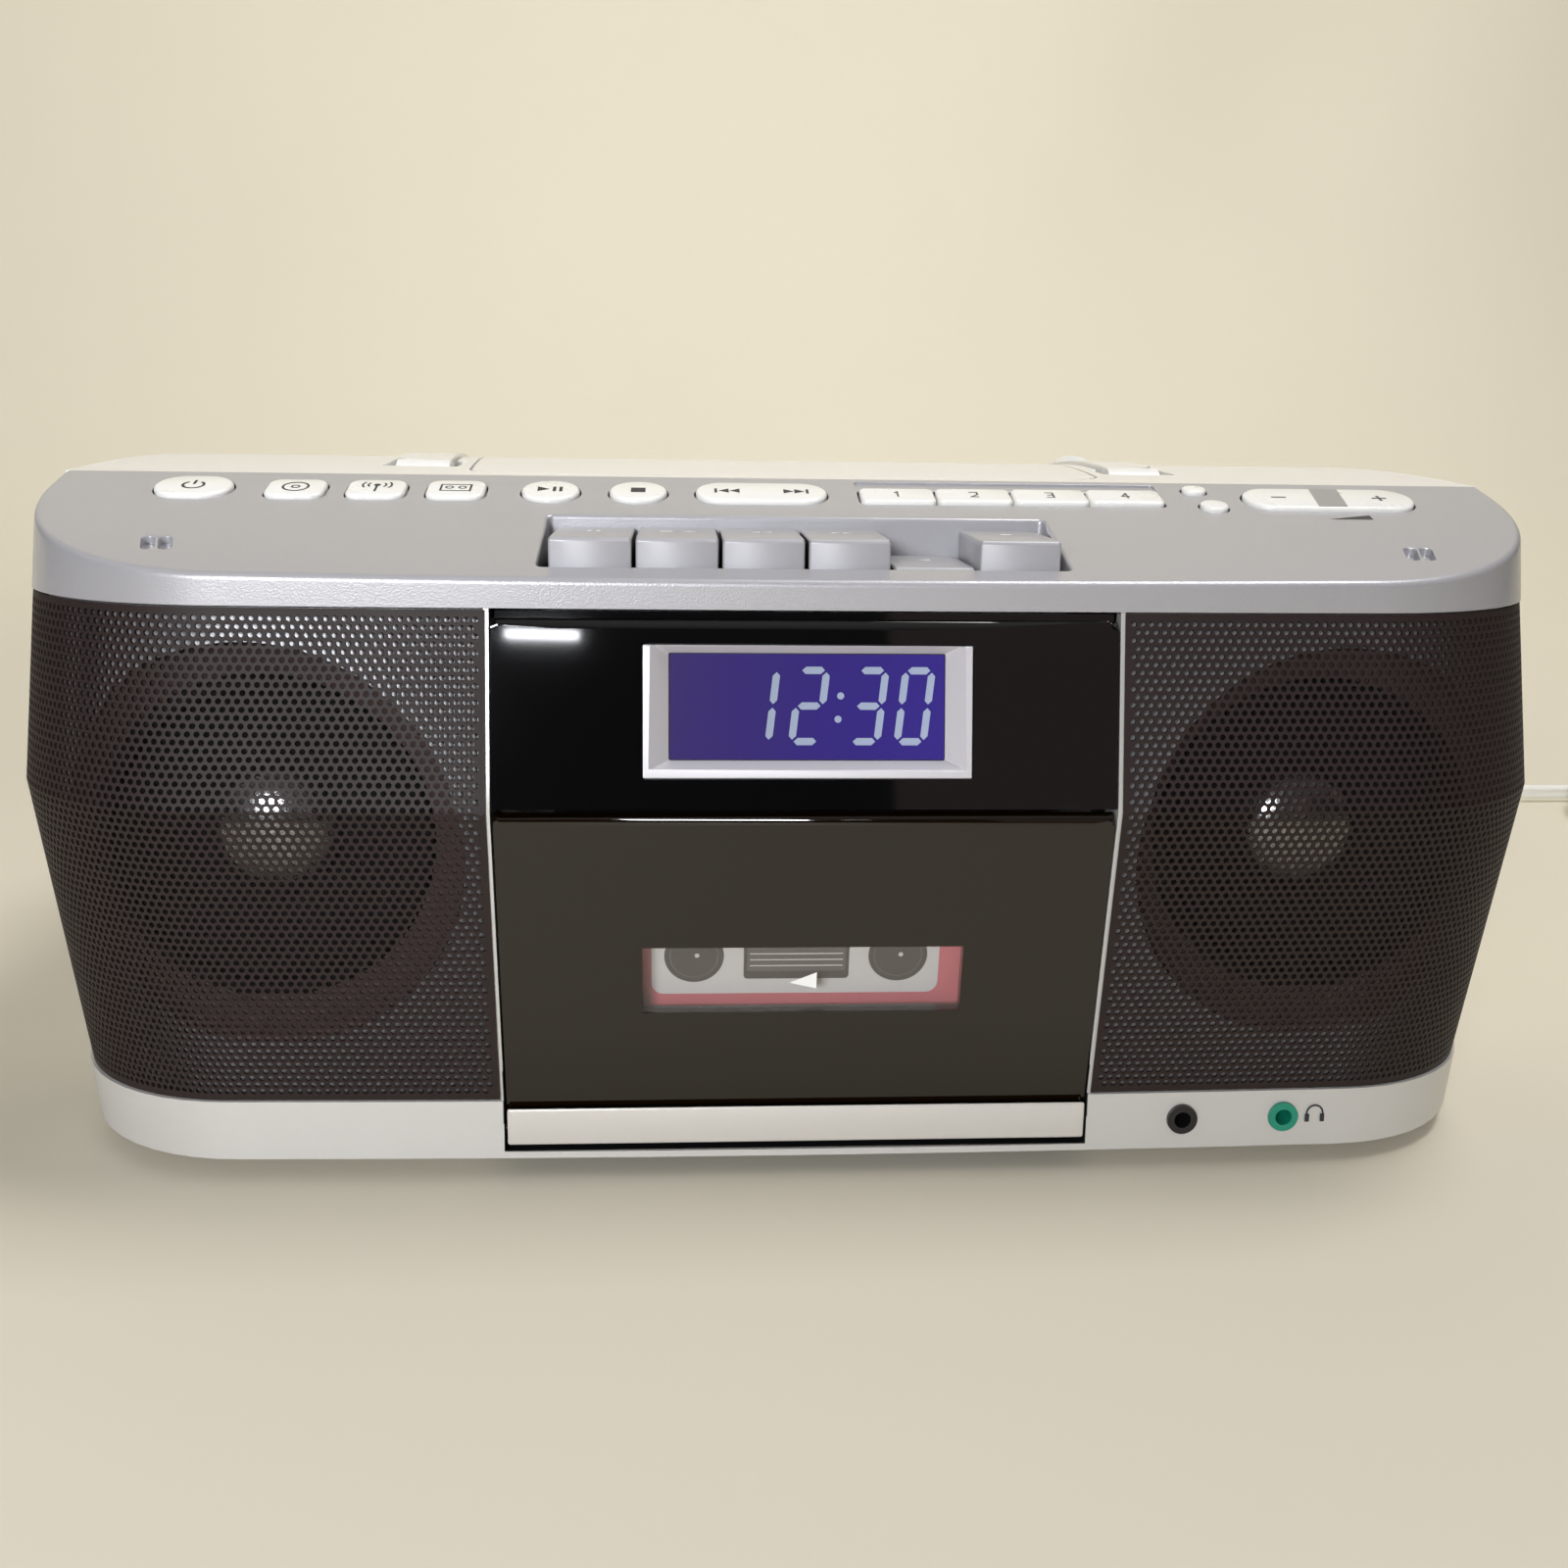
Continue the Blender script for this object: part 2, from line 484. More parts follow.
def grille_mesh():
    """Cells of the staggered pattern: twelve points on the cell's edge, twelve on the hole and twelve at its back,
    joined by quads. Cells that reach over the border are cut back to it and left without a hole."""
    row_step = hole_pitch * math.sqrt(3) / 2
    row, column = np.meshgrid(np.arange(-1, int(grille_tall / row_step) + 2),
                              np.arange(-1, int(grille_wide / hole_pitch) + 2), indexing="ij")
    cu = ((column + 0.5 * (row % 2)) * hole_pitch).ravel()
    cv = ((row + 0.5) * row_step).ravel()
    j = np.arange(12)
    a = np.radians(30 * j + 30)
    edge = np.where(j % 2 == 0, hole_pitch / math.sqrt(3), hole_pitch / 2)
    outer, inner = (circle(cu[:, None], cv[:, None], r, a) for r in (edge, hole_r))
    top = np.array([grille_wide, grille_tall])
    reach = (outer.max(1) > 0).all(1) & (outer.min(1) < top).all(1)
    holed = reach & (inner.min(1) > border).all(1) & (inner.max(1) < top - border).all(1)
    solid = reach & ~holed
    outer = np.clip(outer, 0, top)
    n, m = holed.sum(), solid.sum()
    flat = np.concatenate([outer[holed], inner[holed], inner[holed]], 1).reshape(-1, 2)
    flat = np.vstack([flat, outer[solid].reshape(-1, 2)])
    deep = np.concatenate([np.tile(np.repeat([0, 0, sheet_t], 12), n), np.zeros(12 * m)])
    k = (j + 1) % 12
    base = 36 * np.arange(n)[:, None]
    quads = [np.stack([base + f + j, base + f + k, base + f + 12 + k, base + f + 12 + j], -1).reshape(-1, 4)
             for f in (0, 12)]
    lids = 36 * n + 12 * np.arange(m)[:, None] + j
    keep = np.array([len(np.unique(np.round(o, 4), axis=0)) > 2 for o in outer[solid]])
    return grille_surface(flat[:, 0], flat[:, 1], deep), quads + [lids[keep]]


mesh_paint = finish_of("grille_paint", (42, 33, 31), 0.55, shade=0.25, ior=1.3, scale=40, spread=0.15, grain=1200,
                       bump=0.05)
mesh_points, mesh_faces = grille_mesh()
for side, node in ((1, "right_grille"), (-1, "left_grille")):
    o = piece("perforated_" + node, "cabinet", [mesh_paint], mesh_points * [side, 1, 1],
              [f[:, ::side] for f in mesh_faces], angle=60, slot="grille_metal")
    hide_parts(node)

# The loudspeakers: pressed steel baskets on the collars, paper cones with a rolled surround, bright domed dust caps
# and a dark grey lined mouth that widens from the driver to the grille.
speaker_x, speaker_z, driver_y = 110, 71, -96.9
mouth_r, flare, flare_deep, baffle_gap = 34.4, 7.8, 8.5, 3


def turned(profile, side, count=72):
    """A surface of revolution about a loudspeaker's axis along -Y: radius and distance ahead for each ring."""
    a = around(count)
    p = np.asarray(profile, float)
    x = speaker_x * side + p[:, :1] * np.cos(a)
    z = speaker_z + p[:, :1] * np.sin(a)
    y = np.broadcast_to(-p[:, 1:2], x.shape)
    return np.stack([x, y, z], -1).reshape(-1, 3), [grid_faces(len(p), count, True)]


def funnel(side, count=96, rings=12):
    """The lining of the mouth in front of a driver: a cone, then a straight wall. At each angle it ends where it meets
    the baffle behind the grille; the depth is found by halving the range twenty times."""
    a = around(count)

    def ring(depth):
        r = mouth_r + flare * np.clip(depth / flare_deep, 0, 1)
        return speaker_x + r * np.cos(a), driver_y - depth, speaker_z + r * np.sin(a)

    low, high = np.full(count, 0.05), np.full(count, 23.0)
    for k in range(20):
        middle = (low + high) / 2
        x, y, z = ring(middle)
        front, r, xc, yc = section_at(z)
        wall = np.where(x < xc, front + baffle_gap + front_bow * (x / xc) ** 2,
                        yc - np.sqrt(np.maximum((r - baffle_gap) ** 2 - (x - xc) ** 2, 0)))
        low, high = np.where(y > wall, middle, low), np.where(y > wall, high, middle)
    x, y, z = ring(np.linspace(0, 1, rings)[:, None] * low)
    return np.stack([side * x, y, z], -1).reshape(-1, 3), [grid_faces(rings, count, True)[:, ::side]]


dress(["speaker_drivers"], finish_of("basket_steel", (120, 118, 116), 0.45, metallic=0.9, shade=0.2, scale=60))
cone_black = finish_of("cone_paper", (24, 22, 22), 0.85, shade=0.3, scale=120, grain=1600, bump=0.25)
cap_bright = finish_of("dust_cap", (222, 222, 222), 0.17, metallic=1.0, shade=0.3, scale=120, bump=0.06)
felt = finish_of("funnel_lining", (116, 98, 94), 0.6, shade=0.2, scale=60, grain=1600, bump=0.1)
surround = [(32.4 + 1.7 * math.cos(a), 97.1 + 1.3 * math.sin(a)) for a in np.linspace(0, np.pi, 9)]
cone_profile = ([(34.2, 95.6), (34.2, 97.1)] + surround + [(30.4, 96.6)]
                + [(r, 87.4 + (r - 10.8) * 0.46) for r in np.linspace(29.6, 13.6, 12)])
dome = [(13.6 * math.cos(a), 88.7 + 6.0 * math.sin(a)) for a in np.linspace(0, np.pi / 2 - 0.02, 14)]
for side, word in ((1, "right"), (-1, "left")):
    cone = piece(word + "_cone", "cabinet", [cone_black], *turned(cone_profile, side), angle=60, slot="cone_paper")
    piece(word + "_dust_cap", "cabinet", [cap_bright], *turned(dome, side), angle=60, slot="steel")
    piece(word + "_funnel", "cabinet", [felt], *funnel(side), slot="cone_paper")
    if side > 0:
        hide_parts("speaker_cones")

# The control panel: the sloping silver top with a soft edge all round the front, a well for the tape keys, holes for
# the buttons, a shallow tray behind the presets and two pairs of slanted microphone slots.
tilt, slot_lean = math.radians(16), math.radians(14)
panel_y, panel_z, panel_foot, panel_head = -111.6, 126.2, 120.5, 150.0
panel_edge, slack, hole_deep = 1.3, 0.35, 2.2
panel_place = tilted(tilt, (0, panel_y, panel_z))
# each button's X, distance up the slope, width, depth and corner radius
buttons = {"power_button": (-130, 50.8, 16.6, 12.4, 6.1), "cd_button": (-108.2, 50.2, 12.6, 10.6, 3),
           "radio_button": (-91, 50.4, 12.6, 10.6, 3), "tape_button": (-73.9, 50.6, 12.6, 10.6, 3),
           "play_button": (-53.4, 50.4, 12.6, 12.2, 6), "stop_button": (-34.3, 50.4, 12.6, 12.2, 6),
           "skip_rocker": (-7.2, 50.6, 29, 12, 5.9),
           **{f"preset_{i + 1}": (22.9 + 17.1 * i, 49.6 + 0.2 * i, 16.6, 8.6, 1.5) for i in range(4)},
           "sound_button": (91.5, 56, 5.4, 4.4, 2.1), "mode_button": (93.2, 45.4, 6.2, 6, 2.9),
           "volume_rocker": (120.8, 50.4, 39, 13, 6.4)}


def front_line(half, front, r, n=40, back=-52.0):
    """The front half of a section in plan: side, quarter circle, front bowed by a parabola, quarter circle, side."""
    xc, yc = half - r, front + front_bow + r
    a = np.linspace(0, np.pi / 2, n)
    x = np.linspace(-xc, xc, 2 * n)[1:-1]
    bow = np.stack([x, front + front_bow * (x / xc) ** 2], 1)
    return np.vstack([[[-half, back]], circle(-xc, yc, r, a + np.pi), bow, circle(xc, yc, r, a - np.pi / 2),
                      [[half, back]]])


def panel_holes():
    """Outlines of the openings with their depth and whether they have a floor: one for each button, one long one for
    the presets, the tray, the key well and the microphone slots."""
    out = [(rounded_outline(w + 2 * slack, d + 2 * slack, r + slack) + [x, s], hole_deep, False)
           for name, (x, s, w, d, r) in buttons.items() if not name.startswith("preset")]
    out += [(rounded_outline(68.6, 9.3, 1.8) + [48.55, 49.9], hole_deep, False),
            (rounded_outline(68.8, 5.0, 0.8) + [48.6, 57.8], 0.5, True),
            (rounded_outline(106, 28.8, 1.2) + [0, 21.6], 9.0, False)]
    c, q = math.cos(slot_lean), math.sin(slot_lean)
    slot_line = rounded_outline(2.6, 7.2, 1.25) @ np.array([[c, -q], [q, c]])
    for x in (-130.6, -127.2, 127.2, 130.6):
        side = 1 if x > 0 else -1
        out.append(((slot_line * [side, 1])[::side] + [x, 18], 1.7, True))
    return out


def inside(points, outline):
    """Whether points lie within an outline: count the edges that a ray to the right crosses."""
    x, y = points[:, :1], points[:, 1:]
    a, b = outline, np.roll(outline, -1, 0)
    with np.errstate(divide="ignore", invalid="ignore"):
        cross = (a[:, 1] > y) != (b[:, 1] > y)
        at = a[:, 0] + (y - a[:, 1]) * (b[:, 0] - a[:, 0]) / (b[:, 1] - a[:, 1])
    return (cross & (x < at)).sum(1) % 2 == 1


def control_panel_mesh():
    """Wall, soft edge and face. The wall rises to the crease where it meets the sloping plane; the edge is a
    quadratic blend from the wall over the crease on to the plane; the face is triangulated between its outlines.
    The walls of the button holes come last, with a material of their own."""
    foot, head = front_line(163.6, panel_y, 50), front_line(160.0, panel_y, 50)
    k, rise = math.tan(tilt), panel_head - panel_foot
    t = (panel_z - panel_foot + (foot[:, 1] - panel_y) * k) / (rise - (head[:, 1] - foot[:, 1]) * k)
    low = np.column_stack([foot, np.full(len(foot), panel_foot + 0.05)])
    crease = np.column_stack([foot + (head - foot) * t[:, None], panel_foot + rise * t])
    flat = np.column_stack([crease[:, 0], (crease[:, 1] - panel_y) / math.cos(tilt)])
    run = unit(np.gradient(flat, axis=0))
    run[[0, -1]] = [[0, -1], [0, 1]]
    rim_flat = flat + panel_edge * np.stack([-run[:, 1], run[:, 0]], 1)
    rim = placed(rim_flat, 0, panel_place)
    wall = crease + panel_edge * unit(low - crease)
    inner = low + (rim - crease) * [0.7, 0.7, 0]
    b = np.linspace(0, 1, 9)[:, None, None]
    rounds = (1 - b) ** 2 * wall + 2 * b * (1 - b) * crease + b ** 2 * rim
    rings = np.concatenate([inner[None], low[None], rounds])
    n = len(foot)
    points, faces, gaps = [rings.reshape(-1, 3)], [grid_faces(len(rings), n)], []
    count = len(rings) * n
    outlines, first = [rim_flat], [count - n]
    for o, deep, floor in panel_holes():
        upright_wall = deep > 5
        rim_w, steps = (0.9, 6) if upright_wall else (0.3, 3)
        ahead_of = unit(np.roll(o, -1, 0) - np.roll(o, 1, 0))
        away = np.stack([ahead_of[:, 1], -ahead_of[:, 0]], 1)
        rims = [placed(o + rim_w * (1 - math.sin(q)) * away, -rim_w * (1 - math.cos(q)), panel_place)
                for q in np.linspace(0, np.pi / 2, steps)]
        points += rims + [rims[-1] - [0, 0, deep] if upright_wall else placed(o, -deep, panel_place)]
        faces.append(grid_faces(steps, len(o), True, count))
        (faces if upright_wall or floor else gaps).append(grid_faces(2, len(o), True, count + (steps - 1) * len(o)))
        if floor:
            faces.append([np.arange(len(o)) + count + steps * len(o)])
        outlines.append(o + rim_w * away)
        first.append(count)
        count += (steps + 1) * len(o)
    names = np.concatenate([f + np.arange(len(o)) for f, o in zip(first, outlines)])
    starts = np.cumsum([0] + [len(o) for o in outlines])
    lines = [(int(s + i), int(s + (i + 1) % len(o))) for s, o in zip(starts, outlines) for i in range(len(o))]
    out = delaunay_2d_cdt([Vector(v) for v in np.vstack(outlines)], lines, [], 0, 1e-6)
    tri = np.array([f for f in out[2] if len(f) == 3])
    back = np.array([o[0] for o in out[3]])
    middle = np.array([[v.x, v.y] for v in out[0]])[tri].mean(1)
    keep = inside(middle, outlines[0]) & ~np.any([inside(middle, o) for o in outlines[1:]], axis=0)
    faces.append(names[back[tri[keep]]])
    which = np.repeat([0, 1], [sum(len(b) for b in faces), sum(len(b) for b in gaps)])
    return np.vstack(points), faces + gaps, which


gap_dark = finish_of("gap_dark", (58, 54, 52), 0.7, shade=0.1, scale=60)
panel = piece("sloping_panel", "cabinet", [silver, gap_dark], *control_panel_mesh(), angle=40, slot="silver")
panel.modifiers.new("face_weighted", "WEIGHTED_NORMAL").keep_sharp = True
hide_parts("control_panel")

# The white push buttons and rockers: glossy moulded caps with a softly crowned top, each printed in grey with a plain
# pictogram or a number. A cap stands a little proud of the panel and slides in its hole.
button_white = finish_of("button_white", (240, 239, 234), 0.28, shade=0.03, scale=60, spread=0.08, bump=0.01,
                         coat=0.3)
print_grey = finish_of("print_grey", (92, 92, 96), 0.5, shade=0.1)
print_dark = finish_of("print_dark", (40, 40, 44), 0.5, shade=0.1)
bar_grey = finish_of("bar_grey", (158, 156, 152), 0.4)


def bar(x0, x1, y0, y1):
    """A rectangle as four corners."""
    return np.array([[x0, y0], [x1, y0], [x1, y1], [x0, y1]], float)


def arrow(x, y, size, way=1):
    """A triangle whose tip points along X."""
    return np.array([[x - way * size * 0.5, y - size * 0.6], [x + way * size * 0.5, y],
                     [x - way * size * 0.5, y + size * 0.6]])[::way]


def ring_part(x, y, r, w, start=0, end=360, n=28):
    """Quads along an arc of a flat ring."""
    a = np.radians(np.linspace(start, end, n))
    i, o = (circle(x, y, r + s, a) for s in (-w / 2, w / 2))
    return [np.array([i[k], o[k], o[k + 1], i[k + 1]]) for k in range(n - 1)]


def disc(x, y, r, n=24):
    """A filled circle as one face."""
    return circle(x, y, r, around(n))


def pen(points, w=0.45):
    """Straight pen strokes from point to point, each a thin rectangle that goes on by half its width."""
    out = []
    for a, b in zip(np.array(points[:-1], float), np.array(points[1:], float)):
        d = unit(b - a) * w / 2
        q = np.array([-d[1], d[0]])
        out.append(np.array([a - d - q, b + d - q, b + d + q, a - d + q]))
    return out


pictograms = {
    "power_button": ring_part(0, -0.2, 2.2, 0.6, 125, 415) + [bar(-0.3, 0.3, 0.2, 2.8)],
    "cd_button": ring_part(0, 0, 2.7, 0.5) + ring_part(0, 0, 0.8, 0.45),
    "radio_button": (pen([(0, -2.6), (0, 1.2)], 0.5) + [disc(0, 1.4, 0.75)]
                     + [quad for r, half in ((1.9, 40), (3.1, 35)) for middle in (180, 0)
                        for quad in ring_part(0, 1.4, r, 0.45, middle - half, middle + half)]),
    "tape_button": (pen([(-3.2, -2), (3.2, -2), (3.2, 2), (-3.2, 2), (-3.2, -2)])
                    + ring_part(-1.4, 0.2, 0.75, 0.4) + ring_part(1.4, 0.2, 0.75, 0.4)),
    "play_button": [arrow(-1.5, 0, 2.6), bar(0.5, 1.2, -1.5, 1.5), bar(1.9, 2.6, -1.5, 1.5)],
    "stop_button": [bar(-1.6, 1.6, -1.5, 1.5)],
    "skip_rocker": [bar(-10.4, -9.8, -1.4, 1.4), arrow(-8.4, 0, 2.3, -1), arrow(-6.0, 0, 2.3, -1),
                    bar(9.8, 10.4, -1.4, 1.4), arrow(8.4, 0, 2.3), arrow(6.0, 0, 2.3)],
    "volume_rocker": [bar(-13.2, -9.8, -0.35, 0.35), bar(10, 13.4, -0.35, 0.35), bar(11.35, 12.05, -1.7, 1.7)]}
a, b = 0.75, 1.5
numerals = ([[(0, -b), (0, b), (-a * 0.7, b * 0.55)]],
            [[(-a, b), (a, b), (a, 0), (-a, -b), (a, -b)]],
            [[(-a, b), (a, b), (a, -b), (-a, -b)], [(-a * 0.5, 0), (a, 0)]],
            [[(a * 0.5, -b), (a * 0.5, b), (-a, -b * 0.3), (a, -b * 0.3)]])
for i, lines in enumerate(numerals):
    pictograms[f"preset_{i + 1}"] = [stroke for line in lines for stroke in pen(line)]

proud, skirt, flange_t = 0.9, -3.8, 0.9
volume_bar = [(-4.2, -6.0), (2.4, -6.0), (4.0, 6.0), (-2.6, 6.0)]
for name, (x, s, w, d, r) in buttons.items():
    place = shifted(panel_place, x, s)
    wide, edge = w > 25, 0.75 if w > 10 else 0.6
    cap = [(0, skirt), (0, proud - edge)] + [(edge * (1 - math.cos(a)), proud - edge + edge * math.sin(a))
                                             for a in np.linspace(0.2, np.pi / 2 - 0.15, 5)]
    under = -3.6 if wide else -3.0
    body = [block_of(w, d, r, cap, place),
            block_of(w + 0.2, d + 1.6, r, [(0, under - flange_t), (0, under)], place, 4)]
    body += [block_of(3, 3, 1.5, [(0, -8.3), (0, -3.2)], shifted(place, q), 5)
             for q in ((-0.36 * w, 0.36 * w) if wide else (0,))]
    signs = [printed(pictograms[name], place, proud + 0.03)] if name in pictograms else []
    bars = [printed([volume_bar], place, proud + 0.02)] if name == "volume_rocker" else []
    ink = print_grey if name.startswith("preset") or name == "volume_rocker" else print_dark
    o = piece(name + "_cap", name, [button_white, ink, bar_grey], *joined(body, signs, bars), slot="button_white")
    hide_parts(name)

piece("volume_wedge", "cabinet", [print_dark],
      *printed([[(116.8, 38.6), (127, 38.6), (127, 41.4)]], panel_place, 0.03), slot="silver")

# The tape keys: six silver piano keys side by side in the well, with a rounded front edge, each with a pale symbol on
# top. The sides are dark, as the gaps between keys look. The play key is latched down.
key_silver = finish_of("key_silver", (168, 167, 171), 0.45, metallic=0.1, scale=30, grain=2600, bump=0.04, coat=0.25,
                       coat_rough=0.14)
key_print = finish_of("key_print", (232, 232, 230), 0.5, scale=30)
key_top, key_foot, key_drop, key_pitch = 133.8, 122.0, 5.4, 17.1
key_front, key_back, key_round = -104.2, -77.5, 0.9
key_marks = {"pause_key": [bar(-1.3, -0.5, -1.4, 1.4), bar(0.5, 1.3, -1.4, 1.4)],
             "eject_key": [bar(-3.6, -1.0, -1.3, 1.3), [(1.0, -0.3), (3.8, -0.3), (2.4, 1.4)],
                           bar(1.0, 3.8, -1.3, -0.8)],
             "forward_key": [arrow(-1.2, 0, 2.2, -1), arrow(1.2, 0, 2.2, -1)],
             "rewind_key": [arrow(-1.2, 0, 2.2), arrow(1.2, 0, 2.2)],
             "play_key": [arrow(0, 0, 2.6, -1)], "record_key": [disc(0, 0, 1.3)]}


def key_mesh(x, drop):
    """The stem and the cap of a key. The cap is a side outline with a rounded front edge and a bevel, carried across
    the key's width with the first and last outlines drawn in to round the sides."""
    a = np.linspace(0, np.pi / 2, 7)
    front = np.stack([key_front + key_round * (1 - np.cos(a)), key_top - key_round + key_round * np.sin(a)], 1)
    outline = np.vstack([[[key_front, key_foot]], front,
                         [[key_back - 0.6, key_top], [key_back, key_top - 0.6], [key_back, key_foot]]])
    side = np.sign(outline - [-90.8, 128.0])
    across = [(-8.15, 0.5), (-8.0, 0.2), (-7.7, 0.0), (7.7, 0.0), (8.0, 0.2), (8.15, 0.5)]
    n = len(outline)
    cap = [np.column_stack([np.full(n, x + q), outline - inset * side - [0, drop]]) for q, inset in across]
    stem = block_of(6, 9, 0.6, [(0, 111 - drop), (0, key_foot + 0.2 - drop)], towards("z", (x, -92.5, 0)), 4)
    return [stem, (np.vstack(cap), tube_faces(len(across), n, -1))]


for i, name in enumerate(key_marks):
    x, drop = (i - 2.5) * key_pitch, key_drop if name == "play_key" else 0.0
    sign = printed(key_marks[name], towards("z", (x, -88, key_top - drop)), 0.04)
    pts, fcs, which = joined(key_mesh(x, drop), [sign])
    ends = len(which) - len(key_marks[name])
    which[ends - 2:ends] = [0 if name == "record_key" else 2] * 2
    o = piece(name + "_cap", name, [key_silver, key_print, gap_dark], pts, fcs, which, slot="silver")
    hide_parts(name)

# The black column: a gloss fascia, a silver frame that slopes in, and a backlit blue display with pale slanted
# digits. All are clipped into the front cabinet above the tape door.
gloss = dict(shade=0.1, scale=20, spread=0.02, bump=0.0)
display_place = tilted(math.atan2(39.1, 7.1), (0, -118.5, 81.4))


def rounded_lip(name, place, top, width):
    """Rounds the upper front edge of a packed plate: the points at the given height and at the front, in the plate's
    own frame, make a group, and a bevel of eight steps follows the edges within it."""
    o = nodes[name]
    p = np.empty(3 * len(o.data.vertices))
    o.data.vertices.foreach_get("co", p)
    local = (p.reshape(-1, 3) / MM - place[:3, 3]) @ place[:3, :3]
    lip = o.vertex_groups.new(name="lip")
    lip.add(np.flatnonzero((np.abs(local[:, 1] - top) < 0.08) & (local[:, 2] > -0.5)).tolist(), 1.0, "REPLACE")
    bevelled(o, "lip", width, 8, limit_method="VGROUP", vertex_group="lip")


dress(["display_panel"], finish_of("gloss_black", (7, 7, 8), 0.035, coat=0.4, **gloss))
rounded_lip("display_panel", display_place, 38.1, 2.4)
dress(["display_bezel"], finish_of("bezel_silver", (194, 192, 196), 0.44, metallic=0.25, scale=40, grain=2600,
                                   bump=0.04), 0.25)


def glow(name, low, high, strength):
    """A lit film: colour runs from one tone to another across X with a little cloud in it, and shines by itself."""
    m, t, p = new_material(name)
    at = add_node(t, "ShaderNodeTexCoord")["Object"]
    x = add_node(t, "ShaderNodeSeparateXYZ", {0: at})["X"]
    cloud = add_node(t, "ShaderNodeTexNoise", {"Vector": at, "Scale": 60})["Fac"]
    span = add_node(t, "ShaderNodeMapRange", {"Value": x, "From Min": -0.03, "From Max": 0.03})["Result"]
    both = maths(t, "MULTIPLY_ADD", cloud, 0.25, span)
    tone = add_node(t, "ShaderNodeMix", {"Factor": both, "A": lin(*low), "B": lin(*high)}, data_type="RGBA")["Result"]
    feed(p, {"Base Color": tone, "Emission Color": tone, "Emission Strength": strength, "Roughness": 0.12})
    return m


lcd_film = glow("lcd_film", (47, 37, 76), (42, 32, 106), 0.52)
lcd_pale = glow("lcd_segments", (128, 137, 152), (140, 150, 172), 0.3)
lcd_frame = finish_of("lcd_frame", (20, 20, 26), 0.5, shade=0.06, scale=30)
segment = {"a": ((-1, 2), (1, 2)), "b": ((1, 2), (1, 0)), "c": ((1, 0), (1, -2)), "d": ((-1, -2), (1, -2)),
           "e": ((-1, 0), (-1, -2)), "f": ((-1, 2), (-1, 0)), "g": ((-1, 0), (1, 0))}


def seven(lit, x, z, w=2.6, h=3.5, half=0.72, gap=0.35, slant=0.12):
    """Seven-segment digit: each lit segment is a slim six-sided bar between corners of the slanted figure."""
    out = []
    for k in lit:
        a, b = np.array(segment[k]) * [w, h]
        d = unit(b - a)
        a, b, d = a + d * gap, b - d * gap, d * half
        q = np.array([-d[1], d[0]])
        six = np.array([a, a + d - q, b - d - q, b, b - d + q, a + d + q])
        out.append(six + np.outer(six[:, 1] * slant, [1, 0]) + [x, z])
    return out


film = block_of(54.2, 20.7, 0.4, [(0, -3.4), (0, -2.45)], shifted(display_place, 0, 21), 3)
holder = block_of(67, 29, 1, [(0, -8), (0, -3.4)], shifted(display_place, 0, 20), 3)
digits = (("bc", -9.5), ("abged", 0.3), ("abgcd", 12.0), ("abcdef", 21.2))
figures = [bar6 for lit, x in digits for bar6 in seven(lit, x, 21.2)] + [disc(6.0, 18.6, 0.7), disc(6.5, 23.2, 0.7)]
lcd = piece("lcd_glass", "cabinet", [lcd_film, lcd_pale, lcd_frame],
            *joined([film], [printed(figures, display_place, -2.41)], [holder]), slot="display_glass")
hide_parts("lcd_module")

# The tape door: a gloss black moulding that carries the cassette in its guides, with a clear window, a white arrow
# printed on it and a silver strip along its foot. It tips forward on two pins.
door_place = tilted(math.atan2(64.9, -11.4), (0, -107.1, 16.5))
dress(["cassette_door"], finish_of("door_black", (18, 9, 3), 0.035, coat=0.3, **gloss))
rounded_lip("cassette_door", door_place, 65, 1.8)
strip = block_of(122.4, 8.0, 0.5, [(0, -0.9), (0, 0.1), (0.15, 0.25), (0.4, 0.32)],
                 tilted(math.pi / 2, (0, -108.1, 11.2)), 4)
piece("door_strip", "door", [finish_of("strip_silver", (206, 202, 196), 0.4, metallic=0.3, scale=20, grain=2600,
                                       bump=0.05)], *strip, slot="silver")
dress(["door_window"], finish_of("window_clear", (140, 134, 128), 0.04, alpha=0.16, **gloss))
piece("window_arrow", "door", [finish_of("arrow_white", (235, 235, 232), 0.5, shade=0.03, scale=30)],
      *printed([[(2.9, 26.4), (2.9, 30.2), (-2.7, 27.8)]], door_place, -0.45), slot="window_glass")

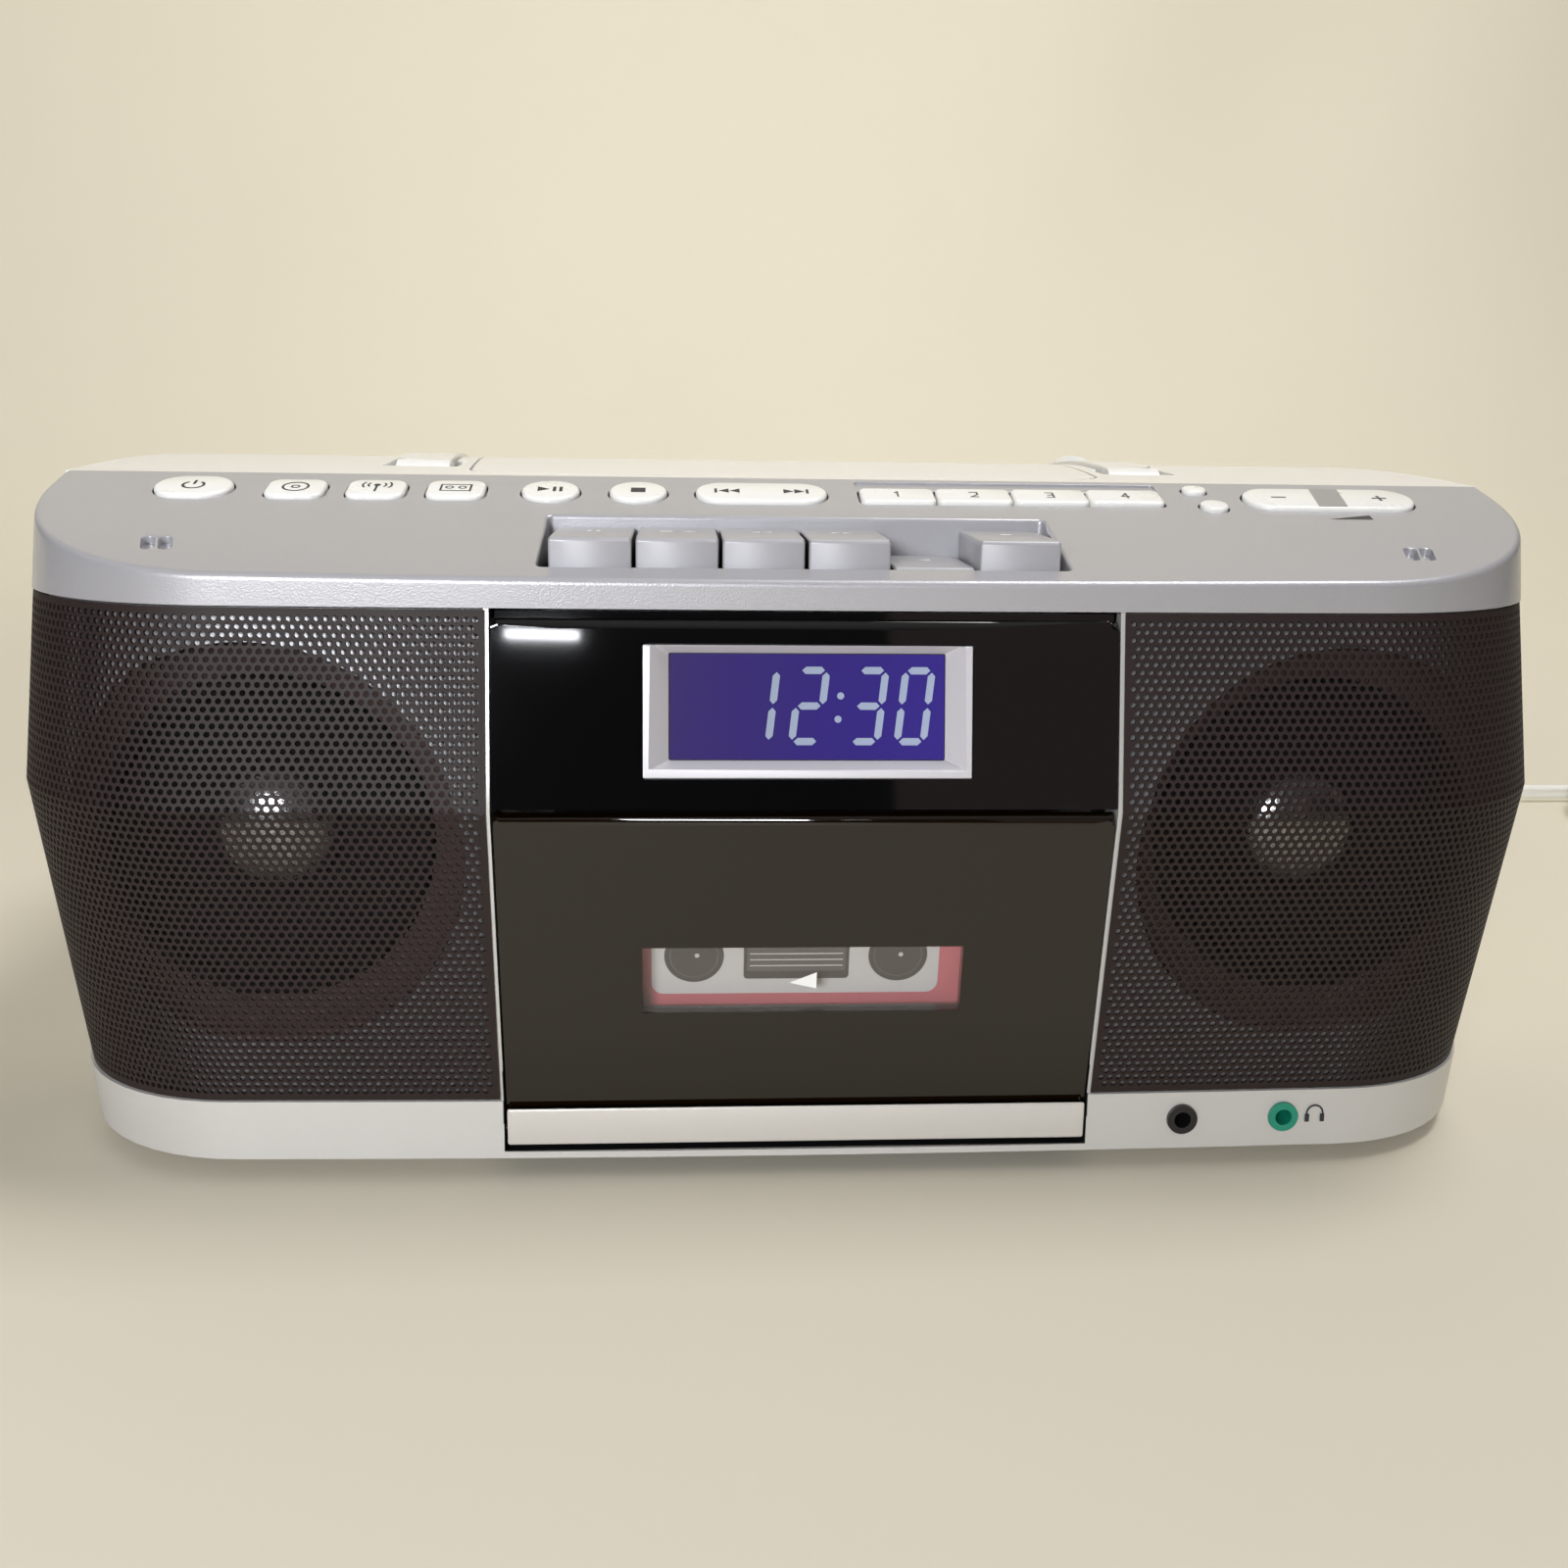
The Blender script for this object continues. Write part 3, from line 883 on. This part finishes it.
# The cassette: a two-part shell of rose plastic with a grey label on its face, two dark hubs and a small clear window
# with the tape behind it. It stands in the door with its tape edge upward, and its top is in the dark.
rose = finish_of("cassette_rose", (226, 118, 126), 0.4, shade=0.08, scale=40, bump=0.03)
label_grey = finish_of("label_grey", (232, 229, 226), 0.6, shade=0.1, scale=60, grain=2000, bump=0.05)
reel_dark = finish_of("reel_dark", (70, 64, 61), 0.4, shade=0.25, scale=120)
tape_dim = finish_of("tape_window", (104, 99, 95), 0.3, shade=0.2, scale=90)
two_tone(rose, (("Z", "above", 0.0752),), (24, 20, 19), 0.5, 0.0)
dress(["cassette"], rose, 0.4)
hub_xs, hub_z = (-22.2, 20.3), 30.9
shell, label, reels, tape, lines = (printed(shapes, door_place, deep) for deep, shapes in (
    (-6.46, [rounded_outline(66, 6, 0.4, 3) + [0, 21.6]]),
    (-6.42, [rounded_outline(60, 20.6, 2.5) + [-1.0, 32.2]]),
    (-6.36, [disc(x, hub_z, 6.2, 40) for x in hub_xs] + [rounded_outline(22, 12.8, 0.8, 4) + [-0.9, 31.8]]),
    (-6.32, [rounded_outline(20.6, 10.2, 0.5, 4) + [-0.9, 32.3]]
     + [quad for x in hub_xs for quad in ring_part(x, hub_z, 5.0, 0.25)]),
    (-6.28, [disc(x, 31.0, 0.5, 12) for x in (-21.6, 20.9)]
     + [bar(-10.6, 8.8, z, z + 0.25) for z in (28.4, 29.8, 31.2)])))
piece("cassette_label", "door", [rose, label_grey, reel_dark, tape_dim],
      *joined([shell], [label, lines], [reels], [tape]), slot="cassette_shell")

# The sockets in the base band, the rubber feet and a small printed sign.
dress(["aux_jack"], finish_of("socket_black", (24, 22, 23), 0.35, shade=0.15), 0.4)
dress(["phones_jack"], finish_of("socket_green", (20, 132, 106), 0.35, shade=0.1), 0.4)
dress(["feet"], finish_of("foot_rubber", (38, 36, 35), 0.8, shade=0.2, scale=120, grain=1800, bump=0.2), 0.5)
band = frame_at((112.6, -106.55, 11.2), ((1, 0, 0), (0.03, 0.064, -1), (0, 1, 0.064)))
headphones = ring_part(0, 0, 1.8, 0.4, -15, 195) + [bar(-2.2, -1.2, -1.9, -0.1), bar(1.2, 2.2, -1.9, -0.1)]
piece("headphone_sign", "cabinet", [print_dark], *printed(headphones, band, 0.0), slot="silver")

# The white cabinet parts: glossy white mouldings for the back, the crowned deck, the disc lid, the folding handle and
# the battery cover, screwed and clipped together behind the silver front. A dark screen stands behind the vents.
white = finish_of("cabinet_white", (240, 239, 235), 0.25, shade=0.03, scale=12, spread=0.06, grain=1800, bump=0.01,
                  coat=0.2)
dress(["rear_cabinet", "cd_deck", "battery_cover"], white)
dress(["cd_lid", "carry_handle"], white, 0.6)
dress(["cabinet_screws"], finish_of("screw_steel", (150, 150, 152), 0.4, metallic=1.0, shade=0.2), 0.3)
inlet_black = finish_of("inlet_black", (22, 22, 23), 0.5, shade=0.15, scale=120, bump=0.05)
dress(["ac_inlet"], inlet_black, 0.3)
screen = block_of(92, 28, 2, [(0, -0.6), (0, 0)], tilted(math.pi / 2, (66, 115.3, 93)), 4)
piece("vent_screen", "cabinet", [inlet_black], *screen, slot="black_plastic")

# The aerial: a chromed telescopic tube on a white pivot head at the back edge of the deck.
aerial_chrome = finish_of("aerial_chrome", (220, 220, 222), 0.12, metallic=1.0, shade=0.1, scale=100, spread=0.06,
                          bump=0.005)
two_tone(aerial_chrome, (("X", "above", 0.0945),), (238, 236, 230), 0.3, 0.0)
dress(["aerial_mast", "aerial_rod"], aerial_chrome)

# Inside: the disc drive, the tape drive, the boards and the transformer.
dress(["cd_chassis", "tape_chassis", "tape_motor", "flywheel"],
      finish_of("drive_steel", (170, 170, 174), 0.38, metallic=1.0, shade=0.15, scale=80, grain=1400, bump=0.04))
dress(["cd_turntable", "cd_pickup"], finish_of("drive_black", (30, 30, 33), 0.45, shade=0.15, scale=120), 0.3)
dress(["take_up_spindle", "supply_spindle"],
      finish_of("spindle_white", (226, 226, 220), 0.45, shade=0.06, scale=150))
dress(["motor_pulley"], finish_of("pulley_brass", (206, 172, 96), 0.3, metallic=1.0, shade=0.15, scale=150))
dress(["drive_belt"], finish_of("belt_rubber", (24, 24, 24), 0.75, shade=0.2))
dress(["circuit_boards"], finish_of("board_green", (34, 92, 56), 0.4, shade=0.35, scale=160, bump=0.05))
dress(["transformer"], finish_of("core_iron", (92, 84, 78), 0.55, metallic=0.6, shade=0.3, scale=120, bump=0.1), 0.4)
